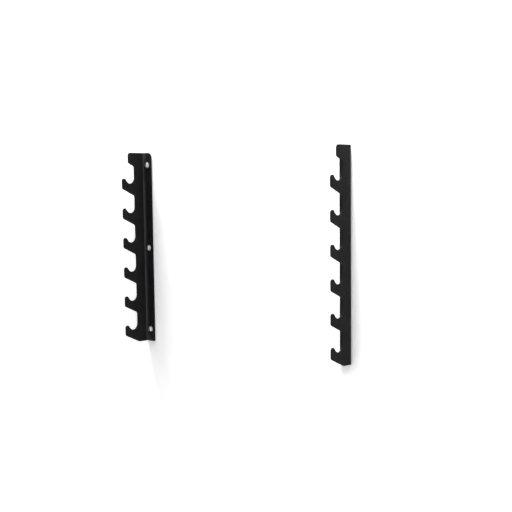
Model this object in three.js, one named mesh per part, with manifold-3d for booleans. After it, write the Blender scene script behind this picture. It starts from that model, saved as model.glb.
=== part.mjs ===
// A wall storage rack: a mirrored pair of bent steel uprights, each with six hooks one above the other.
// Lengths are in millimetres. X runs along the wall, Y points into it and +Z is up.
// Y = 0 is the wall's surface, Z = 0 the uprights' bottom edge and X = 0 is midway between them.
import * as THREE from "three";
import { mergeVertices } from "three/addons/utils/BufferGeometryUtils.js";
import Module from "manifold-3d";

// The pair
const uprightSpacing = 1050; // between the outer faces of the two webs
const plateThickness = 5;
const bendInnerRadius = 3;

// Heights down each web
const hookCount = 6;
const hookPitch = 120;
const topToFirstTip = 104;

// Depths from the wall, and the plain block above the hooks
const bodyDepth = 55.5;
const blockOverhang = 32;
const blockFrontHeight = 41;
const blockTopRadius = 11.5;
const footSetback = 8; // how far behind the body's front edge the lowest underside ends
const footRadius = 5;

// One hook, from its notch out to its tip and back under it
const notchRadius = 24.5;
const notchDepth = 20;
const tipRadius = 10.3;
const hookFrontHeight = 41; // from the tip's top to the lower front corner
const heelRadius = 9.5;
const undersideFillet = 9.5;
const tipInnerAngle = THREE.MathUtils.degToRad(54);
const undersideAngle = THREE.MathUtils.degToRad(23.4);

// The flange
const flangeWidth = 50; // from the web's outer face to the free edge
const flangeTopRadius = 20;
const flangeFootRadius = 3;

// Screws, washers and wall plugs
const screwCount = 3;
const screwInset = 50; // from each end of the upright to the nearest screw
const screwLength = 80; // below the head
const screwDiameter = 10;
const screwPointLength = 9;
const screwPointRadius = 0.8;
const headAcrossFlats = 17;
const headHeight = 7;
const headChamferHeight = 0.8;
const washerDiameter = 24;
const washerThickness = 2;
const washerEdgeRound = 0.5;
const plugWall = 1.7;
const plugRecess = 3; // from the wall's surface to the plug's mouth
const plugPastPoint = 1.6;
const plugLipLength = 3;
const barbCount = 5;
const barbLength = 7;
const barbDepth = 0.8;
const slotWidth = 1.6;
const slotStart = 28; // from the plug's mouth
const finHeight = 1.6;
const finWidth = 1.4;
const finLength = 14;

// Clearances between pieces, and how far a cutting body reaches past what it cuts
const seatGap = 0.3;
const plugClearance = 0.3;
const washerClearance = 0.4;
const holeClearance = 0.5;
const cutOverrun = 5;

// Facets
const arcDivisions = 4;
const roundSides = 32;
const shankSides = 20;
const plugSides = 20;
const hexagonSides = 6;

// Places that follow from the sizes above
const undersideSlope = Math.tan(undersideAngle);
const tipRise = notchDepth - (notchRadius + tipRadius) * (1 - Math.cos(tipInnerAngle));
const tipRun = tipRise / Math.tan(tipInnerAngle);
const hookReach =
  bodyDepth + notchRadius + tipRadius + (notchRadius + tipRadius) * Math.sin(tipInnerAngle) + tipRun;
const footDepth = bodyDepth - footSetback;
const rackHeight =
  topToFirstTip + (hookCount - 1) * hookPitch + hookFrontHeight + (hookReach - footDepth) * undersideSlope;
const bendOuterRadius = bendInnerRadius + plateThickness;
const screwOffset = (plateThickness + flangeWidth) / 2; // from the web's outer face
const screwStep = (rackHeight - 2 * screwInset) / (screwCount - 1);
const screwHeights = Array.from({ length: screwCount }, (_, i) => rackHeight - screwInset - i * screwStep);
const washerBack = -plateThickness - seatGap;
const washerFront = washerBack - washerThickness;
const headBack = washerFront - seatGap;
const headFront = headBack - headHeight;
const screwPoint = headBack + screwLength;
const plugBoreRadius = screwDiameter / 2 + plugClearance;
const plugRadius = plugBoreRadius + plugWall;
const plugEnd = screwPoint + plugPastPoint;

const blackPowderCoat = new THREE.MeshStandardMaterial({ color: 0x1a1b1d, roughness: 0.55, metalness: 0.1 });
const brightZinc = new THREE.MeshStandardMaterial({ color: 0xc8cbd0, roughness: 0.3, metalness: 1 });
const greyNylon = new THREE.MeshStandardMaterial({ color: 0x8d9194, roughness: 0.6, metalness: 0 });

const wasm = await Module();
wasm.setup();

// A closed three.js geometry as a solid that can be joined and cut.
function solidOf(geometry) {
  const bare = geometry.clone();
  bare.deleteAttribute("normal");
  bare.deleteAttribute("uv");
  const merged = mergeVertices(bare);
  return new wasm.Manifold(
    new wasm.Mesh({
      numProp: 3,
      vertProperties: merged.getAttribute("position").array,
      triVerts: new Uint32Array(merged.getIndex().array),
    }),
  );
}

function geometryOf(solid) {
  const mesh = solid.getMesh();
  const geometry = new THREE.BufferGeometry();
  geometry.setAttribute("position", new THREE.BufferAttribute(mesh.vertProperties, 3));
  geometry.setIndex(new THREE.BufferAttribute(mesh.triVerts, 1));
  geometry.computeVertexNormals();
  return geometry;
}

// Adds a corner to an outline, rounded to its radius as far as the shorter of its two edges allows.
function addCorner(shape, before, [x, y, radius = 0], after) {
  const corner = new THREE.Vector2(x, y);
  const toBefore = new THREE.Vector2(before[0], before[1]).sub(corner);
  const toAfter = new THREE.Vector2(after[0], after[1]).sub(corner);
  if (radius === 0) {
    shape.lineTo(x, y);
    return;
  }
  const halfAngle = toBefore.angleTo(toAfter) / 2;
  const tangent = Math.min(radius / Math.tan(halfAngle), toBefore.length(), toAfter.length());
  const rounded = tangent * Math.tan(halfAngle);
  const turnsLeft = toAfter.cross(toBefore) > 0;
  toBefore.normalize();
  toAfter.normalize();
  const inward = toBefore.clone().add(toAfter).normalize();
  const centre = corner.clone().addScaledVector(inward, rounded / Math.sin(halfAngle));
  const start = corner.clone().addScaledVector(toBefore, tangent).sub(centre).angle();
  const end = corner.clone().addScaledVector(toAfter, tangent).sub(centre).angle();
  shape.absarc(centre.x, centre.y, rounded, start, end, !turnsLeft);
}

// A closed outline through a ring of corners, each [x, y] or [x, y, radius]; the first two are sharp.
function outlineOf(corners) {
  const shape = new THREE.Shape();
  shape.moveTo(corners[0][0], corners[0][1]);
  for (let i = 1; i < corners.length; i++) {
    addCorner(shape, corners[i - 1], corners[i], corners[(i + 1) % corners.length]);
  }
  return shape;
}

// Extrudes an outline by length. axes are the directions of the outline's x, its y and the extrusion.
function extruded(shape, length, axes, start = 0) {
  const geometry = new THREE.ExtrudeGeometry(shape, {
    depth: length,
    bevelEnabled: false,
    curveSegments: arcDivisions,
  });
  geometry.translate(0, 0, start);
  geometry.applyMatrix4(new THREE.Matrix4().makeBasis(...axes));
  return solidOf(geometry);
}

const alongX = new THREE.Vector3(1, 0, 0);
const alongY = new THREE.Vector3(0, 1, 0);
const alongZ = new THREE.Vector3(0, 0, 1);
const seenFromAbove = [alongX, alongY, alongZ];
const seenFromSide = [alongY, alongZ, alongX];
const seenFromFront = [alongX, alongZ, alongY.clone().negate()];

// The web's outline, in depth and height: up the back, over the top block, then down the hooks to the foot.
function webOutline() {
  const shape = new THREE.Shape();
  const blockDepth = bodyDepth + blockOverhang;
  const blockFoot = rackHeight - blockFrontHeight;
  const back = [cutOverrun, rackHeight];
  const blockTop = [-blockDepth, rackHeight, blockTopRadius];
  const blockHeel = [-blockDepth, blockFoot, heelRadius];
  const blockCrotch = [-bodyDepth, blockFoot - blockOverhang * undersideSlope, undersideFillet];
  const tipTop = (hook) => rackHeight - topToFirstTip - hook * hookPitch;
  shape.moveTo(cutOverrun, 0);
  shape.lineTo(...back);
  addCorner(shape, back, blockTop, blockHeel);
  addCorner(shape, blockTop, blockHeel, blockCrotch);
  addCorner(shape, blockHeel, blockCrotch, [-bodyDepth, tipTop(0)]);
  for (let hook = 0; hook < hookCount; hook++) {
    const top = tipTop(hook);
    const notchX = -bodyDepth - notchRadius;
    const notchY = top - notchDepth + notchRadius;
    const tip = [-hookReach, top];
    const heel = [-hookReach, top - hookFrontHeight, heelRadius];
    const crotch = [-bodyDepth, heel[1] - (hookReach - bodyDepth) * undersideSlope, undersideFillet];
    const foot = [-footDepth, 0, footRadius];
    shape.absarc(notchX, notchY, notchRadius, 0, -Math.PI / 2 - tipInnerAngle, true);
    shape.absarc(tipRadius - hookReach, top - tipRadius, tipRadius, Math.PI / 2 - tipInnerAngle, Math.PI);
    if (hook < hookCount - 1) {
      addCorner(shape, tip, heel, crotch);
      addCorner(shape, heel, crotch, [-bodyDepth, tipTop(hook + 1)]);
    } else {
      addCorner(shape, tip, heel, foot);
      addCorner(shape, heel, foot, [cutOverrun, 0]);
    }
  }
  return shape;
}

// One upright: a bent L section, cut to the web's outline from the side and the flange's from the front.
// side is 1 where the flange points along +X from the web's outer face, and -1 where it points along -X.
function uprightSolid(side) {
  const farDepth = hookReach + cutOverrun;
  const fullWidth = flangeWidth + 2 * cutOverrun;
  const section = outlineOf([
    [0, -farDepth],
    [side * plateThickness, -farDepth],
    [side * plateThickness, -plateThickness, bendInnerRadius],
    [side * flangeWidth, -plateThickness],
    [side * flangeWidth, 0],
    [0, 0, bendOuterRadius],
  ]);
  const front = outlineOf([
    [-side * cutOverrun, rackHeight],
    [-side * cutOverrun, 0],
    [side * flangeWidth, 0, flangeFootRadius],
    [side * flangeWidth, rackHeight, flangeTopRadius],
  ]);
  const bent = extruded(section, rackHeight + 2 * cutOverrun, seenFromAbove, -cutOverrun);
  const web = extruded(webOutline(), fullWidth, seenFromSide, -fullWidth / 2 + (side * flangeWidth) / 2);
  const flange = extruded(front, farDepth + 2 * cutOverrun, seenFromFront, -cutOverrun);
  const hole = new THREE.CylinderGeometry(
    screwDiameter / 2 + holeClearance,
    screwDiameter / 2 + holeClearance,
    plateThickness + 2 * cutOverrun,
    roundSides,
  );
  let upright = bent.intersect(web).intersect(flange);
  for (const height of screwHeights) {
    const placed = hole.clone().translate(side * screwOffset, -plateThickness / 2, height);
    upright = upright.subtract(solidOf(placed));
  }
  return upright;
}

// A solid turned about Y from a profile of [radius, y] points, in order from the lowest y on the outside.
function turned(profile, sides) {
  const points = profile.map(([radius, y]) => new THREE.Vector2(radius, y));
  return solidOf(new THREE.LatheGeometry(points, sides));
}

// A hexagon-headed wall screw. Its place in depth is measured from the wall's surface.
function screwSolid() {
  const flatRadius = headAcrossFlats / 2;
  const cornerRadius = flatRadius / Math.cos(Math.PI / hexagonSides);
  const shankRadius = screwDiameter / 2;
  const head = new THREE.CylinderGeometry(cornerRadius, cornerRadius, headHeight, hexagonSides);
  head.translate(0, (headFront + headBack) / 2, 0);
  const chamfer = turned(
    [
      [0, headFront],
      [flatRadius, headFront],
      [2 * cornerRadius - flatRadius, headFront + 2 * headChamferHeight],
      [2 * cornerRadius - flatRadius, headBack + cutOverrun],
      [0, headBack + cutOverrun],
    ],
    roundSides,
  );
  const shank = turned(
    [
      [0, headFront + headHeight / 2],
      [shankRadius, headFront + headHeight / 2],
      [shankRadius, screwPoint - screwPointLength],
      [screwPointRadius, screwPoint],
      [0, screwPoint],
    ],
    shankSides,
  );
  return solidOf(head).intersect(chamfer).add(shank);
}

function washerSolid() {
  const inner = screwDiameter / 2 + washerClearance;
  const outer = washerDiameter / 2;
  return turned(
    [
      [inner, washerFront],
      [outer - washerEdgeRound, washerFront],
      [outer, washerFront + washerEdgeRound],
      [outer, washerBack],
      [inner, washerBack],
      [inner, washerFront],
    ],
    roundSides,
  );
}

// A split nylon plug, set into the wall behind the flange: barbed, with two fins that stop it turning.
function plugSolid() {
  const waist = plugRadius - barbDepth;
  const firstBarb = plugEnd - plugLipLength - barbCount * barbLength;
  const barbs = [];
  for (let barb = 0; barb < barbCount; barb++) {
    const start = firstBarb + barb * barbLength;
    barbs.push([plugRadius, start], [waist, start + barbLength]);
  }
  const sleeve = turned(
    [
      [plugBoreRadius, plugRecess],
      [plugRadius, plugRecess],
      [plugRadius, plugRecess + plugLipLength],
      [waist, plugRecess + plugLipLength],
      [waist, firstBarb],
      ...barbs,
      [waist, plugEnd],
      [plugBoreRadius, plugEnd],
      [plugBoreRadius, plugRecess],
    ],
    plugSides,
  );
  const slotLength = plugEnd - plugRecess - slotStart + cutOverrun;
  const slotMiddle = plugRecess + slotStart + slotLength / 2;
  const slotReach = 2 * (plugRadius + cutOverrun);
  const acrossX = new THREE.BoxGeometry(slotReach, slotLength, slotWidth).translate(0, slotMiddle, 0);
  const acrossZ = new THREE.BoxGeometry(slotWidth, slotLength, slotReach).translate(0, slotMiddle, 0);
  const finReach = plugRadius + finHeight - plugBoreRadius - plugWall / 2;
  let plug = sleeve.subtract(solidOf(acrossX)).subtract(solidOf(acrossZ));
  for (const way of [-1, 1]) {
    const fin = new THREE.BoxGeometry(finWidth, finLength, finReach);
    fin.translate(0, plugRecess + finLength / 2, way * (plugBoreRadius + plugWall / 2 + finReach / 2));
    plug = plug.add(solidOf(fin));
  }
  return plug;
}

const fixings = [
  { name: "screw", geometry: geometryOf(screwSolid()), material: brightZinc },
  { name: "washer", geometry: geometryOf(washerSolid()), material: brightZinc },
  { name: "wall_plug", geometry: geometryOf(plugSolid()), material: greyNylon },
];

const rack = new THREE.Group();
for (const [name, side] of Object.entries({ left: 1, right: -1 })) {
  const assembly = new THREE.Group();
  assembly.position.x = (-side * uprightSpacing) / 2;
  const upright = new THREE.Mesh(geometryOf(uprightSolid(side)), blackPowderCoat);
  upright.name = `${name}_upright`;
  assembly.add(upright);
  screwHeights.forEach((height, i) => {
    for (const fixing of fixings) {
      const mesh = new THREE.Mesh(fixing.geometry, fixing.material);
      mesh.name = `${name}_${fixing.name}_${i + 1}`;
      mesh.position.set(side * screwOffset, 0, height);
      assembly.add(mesh);
    }
  });
  rack.add(assembly);
}

export default rack;
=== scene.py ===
import math

import bmesh
import bpy
from mathutils import Matrix, Vector


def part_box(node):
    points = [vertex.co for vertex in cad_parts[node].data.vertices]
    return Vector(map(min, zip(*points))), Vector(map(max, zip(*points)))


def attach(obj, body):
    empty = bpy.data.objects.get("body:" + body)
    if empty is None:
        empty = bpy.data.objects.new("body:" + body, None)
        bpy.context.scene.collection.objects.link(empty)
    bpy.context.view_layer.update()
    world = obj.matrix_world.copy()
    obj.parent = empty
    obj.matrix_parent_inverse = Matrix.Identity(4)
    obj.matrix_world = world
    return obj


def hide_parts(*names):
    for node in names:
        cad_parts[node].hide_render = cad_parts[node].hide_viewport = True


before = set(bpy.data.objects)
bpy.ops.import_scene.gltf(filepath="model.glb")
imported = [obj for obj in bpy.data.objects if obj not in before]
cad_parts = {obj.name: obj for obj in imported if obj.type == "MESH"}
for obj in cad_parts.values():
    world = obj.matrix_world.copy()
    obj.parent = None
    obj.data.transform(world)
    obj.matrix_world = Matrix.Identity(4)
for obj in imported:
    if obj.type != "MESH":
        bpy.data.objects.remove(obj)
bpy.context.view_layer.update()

# The two uprights. Each is one laser-cut 5 mm steel plate, bent lengthways into an L: a web that
# stands square to the wall, with a plain block above six open hooks, and a flange that lies flat on
# the wall. They are a mirrored pair with their flanges turned inwards, powder-coated matte black.
left_low, left_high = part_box("left_upright")
right_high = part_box("right_upright")[1]
upright_height = left_high.z
hook_reach = -left_low.y
flange_width = left_high.x - left_low.x
plate_thickness = 0.005
bend_inner_radius = 0.003
bend_outer_radius = bend_inner_radius + plate_thickness
body_depth = 0.0555
block_depth = 0.0875
block_front_height = 0.041
block_top_radius = 0.0115
top_to_first_tip = 0.104
hook_count = 6
hook_pitch = 0.120
hook_front_height = 0.041
notch_radius = 0.0245
notch_depth = 0.020
tip_radius = 0.0103
tip_inner_angle = math.radians(54)
heel_radius = 0.0095
foot_depth = 0.0475
foot_radius = 0.005
underside_angle = math.radians(23.4)
flange_top_radius = 0.020
flange_foot_radius = 0.003
screw_hole_radius = 0.0055
screw_hole_sides = 64
plate_easing = 0.0006
arc_steps = 20
corner_steps = 8
quarter_turn = math.pi / 2
sharp_angle = math.radians(38)
nearly_square = 0.9
hair = 1e-5


def start_piece(name, add_primitive, scale=(1, 1, 1), **place):
    """Adds a primitive at its place, names it, and brings its object back to the origin."""
    bpy.ops.object.select_all(action="DESELECT")
    add_primitive(**place)
    piece = bpy.context.object
    piece.name = name
    piece.data.name = name
    piece.scale = scale
    bpy.ops.object.transform_apply(location=True, rotation=True, scale=True)
    return piece


def round_rod(name, sides, radius, length, centre):
    """A plain round rod, square to the wall."""
    return start_piece(
        name,
        bpy.ops.mesh.primitive_cylinder_add,
        vertices=sides,
        radius=radius,
        depth=length,
        location=centre,
        rotation=(quarter_turn, 0, 0),
    )


def pick(piece, kind, wanted):
    """In edit mode, selects only the points, edges or faces that wanted() holds for."""
    bpy.ops.mesh.select_mode(type=kind)
    bpy.ops.mesh.select_all(action="DESELECT")
    mesh = bmesh.from_edit_mesh(piece.data)
    elements = {"VERT": mesh.verts, "EDGE": mesh.edges, "FACE": mesh.faces}[kind]
    for element in elements:
        if wanted(element):
            element.select_set(True)
    bmesh.update_edit_mesh(piece.data)


def middle(element):
    """The middle of an edge or a face."""
    points = [point.co for point in element.verts]
    return sum(points, Vector()) / len(points)


def draw_to(piece, depth, height):
    """Draws a straight edge on from the selected point, in the plane of the web."""
    mesh = bmesh.from_edit_mesh(piece.data)
    here = next(point.co.copy() for point in mesh.verts if point.select)
    step = Vector((here.x, -depth, height)) - here
    bpy.ops.mesh.extrude_vertices_move(TRANSFORM_OT_translate={"value": step})


def draw_arc(centre_x, depth, height, angle):
    """Draws a round edge on from the selected point, about a centre in the plane of the web."""
    centre = (centre_x, -depth, height)
    bpy.ops.mesh.spin(steps=arc_steps, angle=angle, center=centre, axis=(1, 0, 0))


def round_corners(piece, corners, radius, opening):
    """Rounds the outline at these [depth, height] corners, whose edges stand this angle apart."""
    spots = [Vector((0, -depth, height)) for depth, height in corners]
    flat = Vector((0, 1, 1))
    pick(piece, "VERT", lambda point: any((point.co * flat - spot).length < hair for spot in spots))
    bpy.ops.mesh.bevel(
        offset_type="OFFSET",
        offset=radius / math.tan(opening / 2),
        segments=corner_steps,
        affect="VERTICES",
    )


def apply_modifier(piece, kind, **settings):
    """Adds a modifier to the piece, sets it and applies it."""
    bpy.ops.object.select_all(action="DESELECT")
    piece.select_set(True)
    bpy.context.view_layer.objects.active = piece
    bpy.ops.object.modifier_add(type=kind)
    modifier = piece.modifiers[-1]
    for name, value in settings.items():
        setattr(modifier, name, value)
    bpy.ops.object.modifier_apply(modifier=modifier.name)


def combine(piece, operation, other):
    """Cuts, joins or trims a closed piece (DIFFERENCE, UNION, INTERSECT) and uses up the other."""
    apply_modifier(piece, "BOOLEAN", operation=operation, solver="EXACT", object=other)
    bpy.data.objects.remove(other)
    bpy.ops.object.mode_set(mode="EDIT")
    bpy.ops.mesh.select_all(action="SELECT")
    bpy.ops.mesh.remove_doubles(threshold=hair)
    bpy.ops.mesh.dissolve_degenerate(threshold=hair)
    bpy.ops.object.mode_set(mode="OBJECT")


def ease_edges(piece, width, segments=3):
    """Rounds the piece's sharp edges and shades the rest smooth, with the flat faces kept flat."""
    bpy.ops.object.select_all(action="DESELECT")
    piece.select_set(True)
    bpy.context.view_layer.objects.active = piece
    bpy.ops.object.shade_smooth_by_angle(angle=sharp_angle)
    apply_modifier(
        piece,
        "BEVEL",
        width=width,
        segments=segments,
        limit_method="ANGLE",
        angle_limit=sharp_angle,
        harden_normals=True,
    )


def tip_height_of(hook):
    """The height of a hook's highest point, counted from 0 at the top hook."""
    return upright_height - top_to_first_tip - hook * hook_pitch


def below_heel(depth, heel_height):
    """The height at which the sloped underside that starts at a heel meets the body's front."""
    return heel_height - (depth - body_depth) * math.tan(underside_angle)


def model_upright(name, outer_x, way):
    """One upright. way is 1 where the flange points along +X from the web's outer face, else -1."""
    upright = start_piece(
        name,
        bpy.ops.mesh.primitive_plane_add,
        size=1,
        location=(outer_x, -(bend_outer_radius + body_depth) / 2, upright_height / 2),
        rotation=(0, quarter_turn, 0),
        scale=(upright_height, body_depth - bend_outer_radius, 1),
    )
    bpy.ops.object.mode_set(mode="EDIT")

    # The plain strip is opened along its front edge, and that edge's foot is set back.
    pick(upright, "FACE", lambda face: True)
    bpy.ops.mesh.delete(type="ONLY_FACE")
    pick(upright, "EDGE", lambda edge: middle(edge).y < -body_depth + hair)
    bpy.ops.mesh.delete(type="EDGE")
    pick(upright, "VERT", lambda point: point.co.y < -body_depth + hair and point.co.z < hair)
    bpy.ops.transform.translate(value=(0, body_depth - foot_depth, 0))

    # The front edge is drawn from the top down: out round the block, then in and out of each hook.
    block_foot = upright_height - block_front_height
    crotches = [(body_depth, below_heel(block_depth, block_foot))]
    heels = [(block_depth, block_foot)]
    foot = (foot_depth, 0)
    notch_centre_depth = body_depth + notch_radius
    tip_centre_depth = hook_reach - tip_radius
    tip_start_depth = tip_centre_depth - tip_radius * math.sin(tip_inner_angle)
    pick(upright, "VERT", lambda point: point.co.y < -body_depth + hair)
    draw_to(upright, block_depth, upright_height)
    draw_to(upright, *heels[0])
    draw_to(upright, *crotches[0])
    for hook in range(hook_count):
        tip_top = tip_height_of(hook)
        notch_height = tip_top - notch_depth + notch_radius
        tip_height = tip_top - tip_radius
        draw_to(upright, body_depth, notch_height)
        draw_arc(outer_x, notch_centre_depth, notch_height, quarter_turn + tip_inner_angle)
        draw_to(upright, tip_start_depth, tip_height + tip_radius * math.cos(tip_inner_angle))
        draw_arc(outer_x, tip_centre_depth, tip_height, -quarter_turn - tip_inner_angle)
        heel_height = tip_top - hook_front_height
        heels.append((hook_reach, heel_height))
        draw_to(upright, *heels[-1])
        if hook < hook_count - 1:
            crotches.append((body_depth, below_heel(hook_reach, heel_height)))
            draw_to(upright, *crotches[-1])
        else:
            draw_to(upright, *foot)

    # The outline is closed and filled, its corners are rounded, and the plate gets its thickness.
    bpy.ops.mesh.select_all(action="SELECT")
    bpy.ops.mesh.remove_doubles(threshold=hair)
    bpy.ops.mesh.edge_face_add()
    round_corners(upright, [(block_depth, upright_height)], block_top_radius, quarter_turn)
    round_corners(upright, heels + crotches, heel_radius, quarter_turn + underside_angle)
    round_corners(upright, [foot], foot_radius, math.pi - underside_angle)
    bpy.ops.mesh.select_all(action="SELECT")
    through = (way * plate_thickness, 0, 0)
    bpy.ops.mesh.extrude_region_move(TRANSFORM_OT_translate={"value": through})
    bpy.ops.mesh.select_all(action="SELECT")
    bpy.ops.mesh.normals_make_consistent(inside=False)

    # The back edge is bent through a right angle, and drawn on to the width of the flange.
    back = -bend_outer_radius - hair
    pick(upright, "FACE", lambda face: face.normal.y > nearly_square and middle(face).y > back)
    bpy.ops.mesh.spin(
        steps=arc_steps // 2,
        angle=way * quarter_turn,
        center=(outer_x + way * bend_outer_radius, -bend_outer_radius, 0),
        axis=(0, 0, 1),
    )
    inwards = (way * (flange_width - bend_outer_radius), 0, 0)
    bpy.ops.mesh.extrude_region_move(TRANSFORM_OT_translate={"value": inwards})
    bpy.ops.mesh.select_all(action="SELECT")
    bpy.ops.mesh.remove_doubles(threshold=hair)
    bpy.ops.mesh.normals_make_consistent(inside=False)
    free_edge_x = outer_x + way * flange_width
    for height, radius in ((upright_height, flange_top_radius), (0, flange_foot_radius)):
        corner = Vector((free_edge_x, -plate_thickness / 2, height))
        pick(upright, "EDGE", lambda edge: (middle(edge) - corner).length < hair)
        bpy.ops.mesh.bevel(offset=radius, segments=corner_steps, affect="EDGES")
    bpy.ops.object.mode_set(mode="OBJECT")
    return upright


def drill_flange(upright, side):
    """Drills the flange's three holes, each about its screw."""
    for place in (1, 2, 3):
        low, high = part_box(f"{side}_screw_{place}")
        centre = ((low.x + high.x) / 2, 0, (low.z + high.z) / 2)
        drill = round_rod("drill", screw_hole_sides, screw_hole_radius, 4 * plate_thickness, centre)
        combine(upright, "DIFFERENCE", drill)


def material_nodes(name, **settings):
    """A new material with these shader values: it, its shader, and its node and link makers."""
    material = bpy.data.materials.new(name)
    material.use_nodes = True
    tree = material.node_tree
    shader = tree.nodes["Principled BSDF"]
    for socket, value in settings.items():
        shader.inputs[socket.replace("_", " ")].default_value = value

    def add(kind, **values):
        made = tree.nodes.new("ShaderNode" + kind)
        for key, value in values.items():
            if hasattr(made, key):
                setattr(made, key, value)
            else:
                made.inputs[key.replace("_", " ")].default_value = value
        return made

    return material, shader, add, tree.links.new


def grain(add, link, size):
    """A fine noise in the piece's own space, with features about this size in metres."""
    place = add("TexCoord")
    noise = add("TexNoise", Scale=1 / size, Detail=2.0, Roughness=0.55)
    link(place.outputs["Object"], noise.inputs["Vector"])
    return noise.outputs["Fac"]


def spread(add, link, source, low=0, high=1, start=0.3, end=0.7):
    """Maps the source's range from start to end, a noise's middle, to that from low to high."""
    mapped = add("MapRange", From_Min=start, From_Max=end, To_Min=low, To_Max=high)
    link(source, mapped.inputs["Value"])
    return mapped.outputs["Result"]


def tint(add, link, share, under, over, way="MIX"):
    """Lays one colour over another by a share; each of the three is a value or another node's."""
    mix = add("Mix", data_type="RGBA", blend_type=way)
    factor, colour_a, colour_b = mix.inputs["Factor"], mix.inputs[6], mix.inputs[7]
    for source, socket in ((share, factor), (under, colour_a), (over, colour_b)):
        if isinstance(source, bpy.types.NodeSocket):
            link(source, socket)
        else:
            socket.default_value = source
    return mix.outputs[2]


def roughen(add, link, shader, layers):
    """Adds bumps to the shader, one over the other, each with its grain and height in metres."""
    below = None
    for size, height in layers:
        bump = add("Bump", Strength=1.0, Distance=height)
        link(grain(add, link, size), bump.inputs["Height"])
        if below:
            link(below, bump.inputs["Normal"])
        below = bump.outputs["Normal"]
    link(below, shader.inputs["Normal"])


black = (0, 0, 0, 1)
coat_dark = (0.0086, 0.0086, 0.0093, 1)
coat_light = (0.0124, 0.0124, 0.0135, 1)
coat_speck = (0.003, 0.003, 0.0032, 1)
# The lighter colour that paints the highlight inside the bend.
coat_bend_highlight = (0.058, 0.058, 0.061, 1)
# The lighter colour of the cradles: rubbed coat with a painted sheen over it.
coat_rubbed_and_sheen = (0.016, 0.016, 0.017, 1)
coat_specular = 0.06
coat_cloud_size = 0.05
coat_speck_size = 0.0009
coat_speck_range = {"start": 0.45, "end": 0.75}
coat_matte_size = 0.012
coat_roughness = (0.46, 0.56)
rubbed_roughness_change = -0.14
coat_bumps = [(0.0022, 0.00005), (0.0005, 0.000018)]


def black_powder_coat():
    """Matte black powder coat: orange peel under fine grain, polished in the cradles, with painted
    sheen there and a painted highlight in the bend.
    """
    material, shader, add, link = material_nodes(
        "black_powder_coat", Metallic=0.0, Specular_IOR_Level=coat_specular
    )
    cloud = spread(add, link, grain(add, link, coat_cloud_size))
    speck = spread(add, link, grain(add, link, coat_speck_size), **coat_speck_range)
    bend = add("Attribute", attribute_name="bend").outputs["Fac"]
    rub_and_sheen = add("Attribute", attribute_name="rub_and_sheen").outputs["Fac"]
    coat = tint(add, link, cloud, coat_dark, coat_light)
    coat = tint(add, link, 1.0, coat, tint(add, link, speck, black, coat_speck), "ADD")
    # Inside the bend, a lighter colour paints the highlight that the bend catches.
    coat = tint(add, link, bend, coat, coat_bend_highlight)
    # In the cradles, a lighter colour paints a sheen over the rubbed coat; the lower roughness is
    # the polish.
    coat = tint(add, link, rub_and_sheen, coat, coat_rubbed_and_sheen)
    link(coat, shader.inputs["Base Color"])
    matte = spread(add, link, grain(add, link, coat_matte_size), *coat_roughness)
    polish = add("Math", operation="MULTIPLY_ADD")
    polish.inputs[1].default_value = rubbed_roughness_change
    link(rub_and_sheen, polish.inputs[0])
    link(matte, polish.inputs[2])
    link(polish.outputs["Value"], shader.inputs["Roughness"])
    roughen(add, link, shader, coat_bumps)
    return material


def mark_cradle_rub_and_sheen(upright):
    """Marks from 0 to 1 how much each point of the edge is rubbed and given a painted sheen, most
    at a cradle's foot.
    """
    rub_and_sheen = upright.data.attributes.new("rub_and_sheen", "FLOAT", "POINT")
    for point in upright.data.vertices:
        for hook in range(hook_count):
            notch_height = tip_height_of(hook) - notch_depth + notch_radius
            centre = Vector((-body_depth - notch_radius, notch_height))
            away = Vector((point.co.y, point.co.z)) - centre
            if away.length < notch_radius + plate_easing and away.y < 0:
                rub_and_sheen.data[point.index].value = min(1.0, -away.y / notch_radius) ** 2


def mark_painted_bend_highlight(upright, outer_x, way):
    """Marks with 1 the inside of the bend, where a lighter colour paints the highlight that the
    bend catches.
    """
    bend = upright.data.attributes.new("bend", "FLOAT", "POINT")
    centre = Vector((outer_x + way * bend_outer_radius, -bend_outer_radius))
    for point in upright.data.vertices:
        away = Vector((point.co.x, point.co.y)) - centre
        if away.length < bend_inner_radius + plate_easing and away.x * way < 0 < away.y:
            bend.data[point.index].value = 1.0


powder_coat = black_powder_coat()
for side, outer_x, way in (("left", left_low.x, 1), ("right", right_high.x, -1)):
    upright = model_upright(f"{side}_bent_plate", outer_x, way)
    drill_flange(upright, side)
    ease_edges(upright, plate_easing)
    mark_cradle_rub_and_sheen(upright)
    mark_painted_bend_highlight(upright, outer_x, way)
    upright.data.materials.append(powder_coat)
    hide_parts(f"{side}_upright")
    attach(upright, "root")

# The six wall plugs behind the screws. Each is moulded grey nylon: a sleeve with a plain mouth,
# barbs that point back at it, two slots that let the end spread, and two fins that stop it turning.
plug_low, plug_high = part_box("left_wall_plug_1")
plug_centre = (plug_low + plug_high) / 2
plug_length = plug_high.y - plug_low.y
plug_radius = 0.0070
plug_bore_radius = 0.0053
plug_barb_depth = 0.0008
plug_waist = plug_radius - plug_barb_depth
plug_lip_length = 0.003
plug_barb_count = 5
plug_barb_length = 0.007
plug_slot_width = 0.0016
plug_slot_start = 0.028
plug_fin_width = 0.0014
plug_fin_start = 0.0006
plug_fin_length = 0.014
plug_easing = 0.00012
plug_sides = 48


def draw_end(piece, from_y, length, ratio):
    """Draws a turned piece's round end on by a length, and scales it by a ratio."""

    def is_end(face):
        return abs(middle(face).y - from_y) < hair and abs(face.normal.y) > nearly_square

    pick(piece, "FACE", is_end)
    end = next(face for face in bmesh.from_edit_mesh(piece.data).faces if face.select)
    centre = end.calc_center_median() + Vector((0, length, 0))
    bpy.ops.mesh.extrude_region_move(TRANSFORM_OT_translate={"value": (0, length, 0)})
    bpy.ops.transform.resize(value=(ratio, 1, ratio), center_override=centre)
    return from_y + length


def block(name, centre, size):
    """A plain block, used only to cut or to be joined on."""
    return start_piece(name, bpy.ops.mesh.primitive_cube_add, size=1, location=centre, scale=size)


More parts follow.
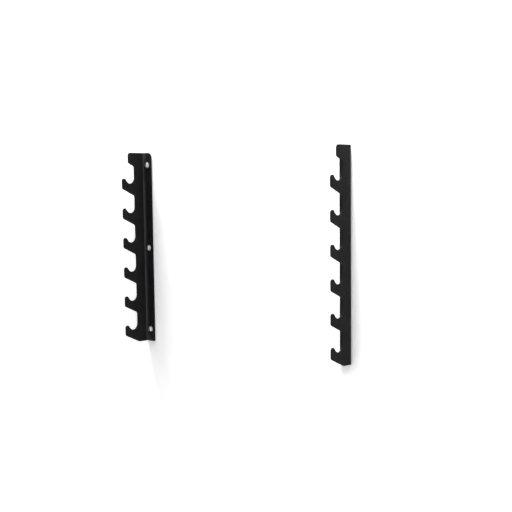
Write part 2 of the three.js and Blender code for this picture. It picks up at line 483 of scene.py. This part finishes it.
def model_plug():
    """The plug behind the left upright's top screw."""
    lip_centre = (plug_centre.x, plug_low.y + plug_lip_length / 2, plug_centre.z)
    plug = round_rod("left_nylon_plug_1", plug_sides, plug_radius, plug_lip_length, lip_centre)
    bpy.ops.object.mode_set(mode="EDIT")
    y = plug_low.y + plug_lip_length
    plain_length = plug_length - 2 * plug_lip_length - plug_barb_count * plug_barb_length
    taper = plug_barb_depth / 2
    barb_face = 2 * hair
    y = draw_end(plug, y, taper, plug_waist / plug_radius)
    y = draw_end(plug, y, plain_length - taper, 1)
    for _ in range(plug_barb_count):
        y = draw_end(plug, y, barb_face, plug_radius / plug_waist)
        y = draw_end(plug, y, plug_barb_length - barb_face, plug_waist / plug_radius)
    draw_end(plug, y, plug_high.y - y, 1)
    bpy.ops.object.mode_set(mode="OBJECT")
    fin_inner = (plug_radius + plug_bore_radius) / 2
    fin_outer = (plug_high.z - plug_low.z) / 2
    fin_size = (plug_fin_width, plug_fin_length - plug_fin_start, fin_outer - fin_inner)
    for way in (-1, 1):
        fin_y = plug_low.y + (plug_fin_start + plug_fin_length) / 2
        fin_z = plug_centre.z + way * (fin_inner + fin_outer) / 2
        combine(plug, "UNION", block("fin", (plug_centre.x, fin_y, fin_z), fin_size))
    bore = round_rod("bore", plug_sides, plug_bore_radius, 2 * plug_length, plug_centre)
    combine(plug, "DIFFERENCE", bore)
    slot_centre = plug_centre + Vector((0, plug_slot_start, 0))
    across = 4 * plug_radius
    for slot_x, slot_z in ((across, plug_slot_width), (plug_slot_width, across)):
        slot = block("slot", slot_centre, (slot_x, plug_length, slot_z))
        combine(plug, "DIFFERENCE", slot)
    ease_edges(plug, plug_easing, segments=2)
    return plug


nylon_dark = (0.235, 0.25, 0.262, 1)
nylon_light = (0.285, 0.3, 0.312, 1)
nylon_ior = 1.53
nylon_cloud_size = 0.01
nylon_matte_size = 0.003
nylon_roughness = (0.42, 0.58)
nylon_bumps = [(0.0004, 0.00002)]


def grey_nylon():
    """Moulded grey nylon with a fine spark-eroded texture."""
    material, shader, add, link = material_nodes("grey_nylon", IOR=nylon_ior)
    cloud = spread(add, link, grain(add, link, nylon_cloud_size))
    matte = spread(add, link, grain(add, link, nylon_matte_size), *nylon_roughness)
    link(tint(add, link, cloud, nylon_dark, nylon_light), shader.inputs["Base Color"])
    link(matte, shader.inputs["Roughness"])
    roughen(add, link, shader, nylon_bumps)
    return material


def place_copies(first, cad_kind, own_kind, finish):
    """Copies a piece made at the left upright's top screw to the other five, and dresses all."""
    first.data.materials.append(finish)
    home_low, home_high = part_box(f"left_{cad_kind}_1")
    pieces = {("left", 1): first}
    for side, place in (("left", 2), ("left", 3), ("right", 1), ("right", 2), ("right", 3)):
        low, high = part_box(f"{side}_{cad_kind}_{place}")
        piece = first.copy()
        piece.data = first.data.copy()
        piece.data.transform(Matrix.Translation((low + high - home_low - home_high) / 2))
        bpy.context.scene.collection.objects.link(piece)
        pieces[side, place] = piece
    for (side, place), piece in pieces.items():
        piece.name = f"{side}_{own_kind}_{place}"
        piece.data.name = piece.name
        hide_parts(f"{side}_{cad_kind}_{place}")
        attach(piece, "root")


place_copies(model_plug(), "wall_plug", "nylon_plug", grey_nylon())

# The six washers, flat under the screw heads. Each is stamped from sheet and plated with bright
# zinc, with its edges rolled over by the punch.
washer_low, washer_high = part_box("left_washer_1")
washer_centre = (washer_low + washer_high) / 2
washer_radius = (washer_high.x - washer_low.x) / 2
washer_thickness = washer_high.y - washer_low.y
washer_bore_radius = 0.0054
washer_easing = 0.00035
washer_sides = 72


def model_washer():
    """The washer under the left upright's top screw."""
    washer = round_rod(
        "left_flat_washer_1", washer_sides, washer_radius, washer_thickness, washer_centre
    )
    bpy.ops.object.mode_set(mode="EDIT")
    pick(washer, "FACE", lambda face: abs(face.normal.y) > nearly_square)
    bpy.ops.mesh.inset(thickness=washer_radius - washer_bore_radius)
    bpy.ops.mesh.bridge_edge_loops()
    bpy.ops.mesh.select_all(action="SELECT")
    bpy.ops.mesh.normals_make_consistent(inside=False)
    bpy.ops.object.mode_set(mode="OBJECT")
    ease_edges(washer, washer_easing)
    return washer


zinc_dark = (0.72, 0.73, 0.75, 1)
zinc_light = (0.83, 0.835, 0.84, 1)
zinc_cloud_size = 0.004
zinc_matte_size = 0.0015
zinc_roughness = (0.2, 0.34)
zinc_bumps = [(0.0025, 0.00004), (0.0003, 0.000006)]


def bright_zinc():
    """Bright zinc plating over steel: a clear sheen with faint cloudiness and fine scratches."""
    material, shader, add, link = material_nodes("bright_zinc", Metallic=1.0)
    cloud = spread(add, link, grain(add, link, zinc_cloud_size))
    matte = spread(add, link, grain(add, link, zinc_matte_size), *zinc_roughness)
    link(tint(add, link, cloud, zinc_dark, zinc_light), shader.inputs["Base Color"])
    link(matte, shader.inputs["Roughness"])
    roughen(add, link, shader, zinc_bumps)
    return material


zinc = bright_zinc()
place_copies(model_washer(), "washer", "flat_washer", zinc)

# The six wall screws. Each is cold-headed steel, plated with bright zinc: a hexagon head with a
# slightly domed face, over a plain round shank that tapers to a point inside its plug.
screw_low, screw_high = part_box("left_screw_1")
screw_centre = (screw_low + screw_high) / 2
head_corner_radius = (screw_high.z - screw_low.z) / 2
head_height = 0.007
head_sides = 6
head_dome_radius = 0.020
head_dome_steps = 96
shank_radius = 0.005
shank_sides = 48
shank_point_length = 0.009
shank_point_radius = 0.0008
screw_easing = 0.00025


def model_screw():
    """The left upright's top screw."""

    def on_axis(y):
        return (screw_centre.x, y, screw_centre.z)

    head_middle = screw_low.y + head_height / 2
    screw = round_rod(
        "left_hex_screw_1", head_sides, head_corner_radius, head_height, on_axis(head_middle)
    )
    dome = start_piece(
        "dome",
        bpy.ops.mesh.primitive_uv_sphere_add,
        segments=head_dome_steps,
        ring_count=head_dome_steps,
        radius=head_dome_radius,
        location=on_axis(screw_low.y + head_dome_radius),
        rotation=(quarter_turn, 0, 0),
    )
    combine(screw, "INTERSECT", dome)
    taper_start = screw_high.y - shank_point_length
    shank_length = taper_start - head_middle
    shank_middle = on_axis((head_middle + taper_start) / 2)
    shank = round_rod("shank", shank_sides, shank_radius, shank_length, shank_middle)
    bpy.ops.object.mode_set(mode="EDIT")
    draw_end(shank, taper_start, shank_point_length, shank_point_radius / shank_radius)
    bpy.ops.object.mode_set(mode="OBJECT")
    combine(screw, "UNION", shank)
    ease_edges(screw, screw_easing)
    return screw


place_copies(model_screw(), "screw", "hex_screw", zinc)

# The stage: a white wall that the rack hangs on, and a pale floor well below it. From behind, the
# wall lets the view through, so that the plugs show.
wall_gap = 0.0002
floor_level = -1.2
stage_reach = 6.0
stage_lit_level = 0.8
stage_seen_level = 1.3


def stage_white(name, see_through_behind=False):
    """Matte white, which the camera and glossy surfaces see lighter, with only soft shadows."""
    material, shader, add, link = material_nodes(name)
    material.node_tree.nodes.remove(shader)
    output = next(node for node in material.node_tree.nodes if node.type == "OUTPUT_MATERIAL")
    rays = add("LightPath")
    seen = add("Math", operation="MAXIMUM")
    link(rays.outputs["Is Camera Ray"], seen.inputs[0])
    link(rays.outputs["Is Glossy Ray"], seen.inputs[1])
    levels = {"low": stage_lit_level, "high": stage_seen_level, "start": 0, "end": 1}
    paint = add("BsdfDiffuse")
    link(spread(add, link, seen.outputs["Value"], **levels), paint.inputs["Color"])
    surface = paint.outputs["BSDF"]
    if see_through_behind:
        clear = add("BsdfTransparent")
        choose = add("MixShader")
        link(add("NewGeometry").outputs["Backfacing"], choose.inputs["Fac"])
        link(surface, choose.inputs[1])
        link(clear.outputs["BSDF"], choose.inputs[2])
        surface = choose.outputs["Shader"]
    link(surface, output.inputs["Surface"])
    return material


wall = start_piece(
    "wall",
    bpy.ops.mesh.primitive_plane_add,
    size=2 * stage_reach,
    location=(0, wall_gap, stage_reach + floor_level),
    rotation=(quarter_turn, 0, 0),
)
wall.data.materials.append(stage_white("wall_white", see_through_behind=True))
floor = start_piece(
    "floor",
    bpy.ops.mesh.primitive_plane_add,
    size=2 * stage_reach,
    location=(0, 0, floor_level),
)
floor.data.materials.append(stage_white("floor_white"))

# The light: soft boxes high over each upright and close to the wall, which draw the web's shadow
# down the wall; two weak ones that keep the wall's far ends as light; and an even room, which the
# camera and glossy surfaces see plain white.
room_level = 0.40
seen_room_level = 1.0
right_lamp_place = (0.46, -0.36, 3.0)
right_lamp_target = (0.55, 0, 0.3)


def soft_box(name, place, target, size, power, beam=180):
    """A square lamp that points at a target, with its beam as wide as this angle in degrees."""
    lamp = bpy.data.lights.new(name, "AREA")
    lamp.size = size
    lamp.spread = math.radians(beam)
    lamp.energy = power
    holder = bpy.data.objects.new(name, lamp)
    holder.location = place
    aim = Vector(target) - Vector(place)
    holder.rotation_euler = aim.to_track_quat("-Z", "Y").to_euler()
    bpy.context.scene.collection.objects.link(holder)


soft_box("left_key", (-1.20, -0.42, 3.0), (-0.7, 0, 0.3), size=0.6, power=25.5, beam=80)
soft_box("right_key", right_lamp_place, right_lamp_target, size=0.25, power=47)
soft_box("right_spot", right_lamp_place, right_lamp_target, size=0.25, power=4.7, beam=34)
soft_box("left_wall", (-2.3, -0.8, 2.5), (-1.5, 0, 0.3), size=0.8, power=6.3, beam=80)
soft_box("right_wall", (2.2, -0.8, 2.5), (1.4, 0, 0.3), size=0.8, power=9.6, beam=80)

world = bpy.data.worlds.new("room")
bpy.context.scene.world = world
world.use_nodes = True
tree = world.node_tree
background = tree.nodes["Background"]
background.inputs["Color"].default_value = (1, 1, 1, 1)
rays = tree.nodes.new("ShaderNodeLightPath")
seen = tree.nodes.new("ShaderNodeMath")
seen.operation = "MAXIMUM"
level = tree.nodes.new("ShaderNodeMapRange")
level.inputs["To Min"].default_value = room_level
level.inputs["To Max"].default_value = seen_room_level
tree.links.new(rays.outputs["Is Camera Ray"], seen.inputs[0])
tree.links.new(rays.outputs["Is Glossy Ray"], seen.inputs[1])
tree.links.new(seen.outputs["Value"], level.inputs["Value"])
tree.links.new(level.outputs["Result"], background.inputs["Strength"])

# The camera, at the photograph's angle, distance and lens. It looks a little down, and its lens is
# lifted as far as the photograph's framing needs.
camera_place = Vector((2.7397, -3.1236, 0.6367))
camera_yaw = math.radians(40.442)
camera_pitch = math.radians(6.324)
camera_roll = math.radians(-0.648)
sensor_width = 36
photo_width_pixels = 512
lens_pixels = 1080.53
lens_lift_pixels = 50
ahead = Vector(
    (
        -math.sin(camera_yaw) * math.cos(camera_pitch),
        math.cos(camera_yaw) * math.cos(camera_pitch),
        -math.sin(camera_pitch),
    )
)
level_right = Vector((math.cos(camera_yaw), math.sin(camera_yaw), 0))
level_up = level_right.cross(ahead)
right = level_right * math.cos(camera_roll) + level_up * math.sin(camera_roll)
up = level_up * math.cos(camera_roll) - level_right * math.sin(camera_roll)
camera_data = bpy.data.cameras.new("camera")
camera_data.sensor_width = sensor_width
camera_data.lens = lens_pixels / photo_width_pixels * sensor_width
camera_data.shift_y = lens_lift_pixels / photo_width_pixels
camera = bpy.data.objects.new("camera", camera_data)
camera.matrix_world = Matrix((right, up, -ahead)).transposed().to_4x4()
camera.location = camera_place
bpy.context.scene.collection.objects.link(camera)
bpy.context.scene.camera = camera

bpy.context.scene.view_settings.view_transform = "Standard"
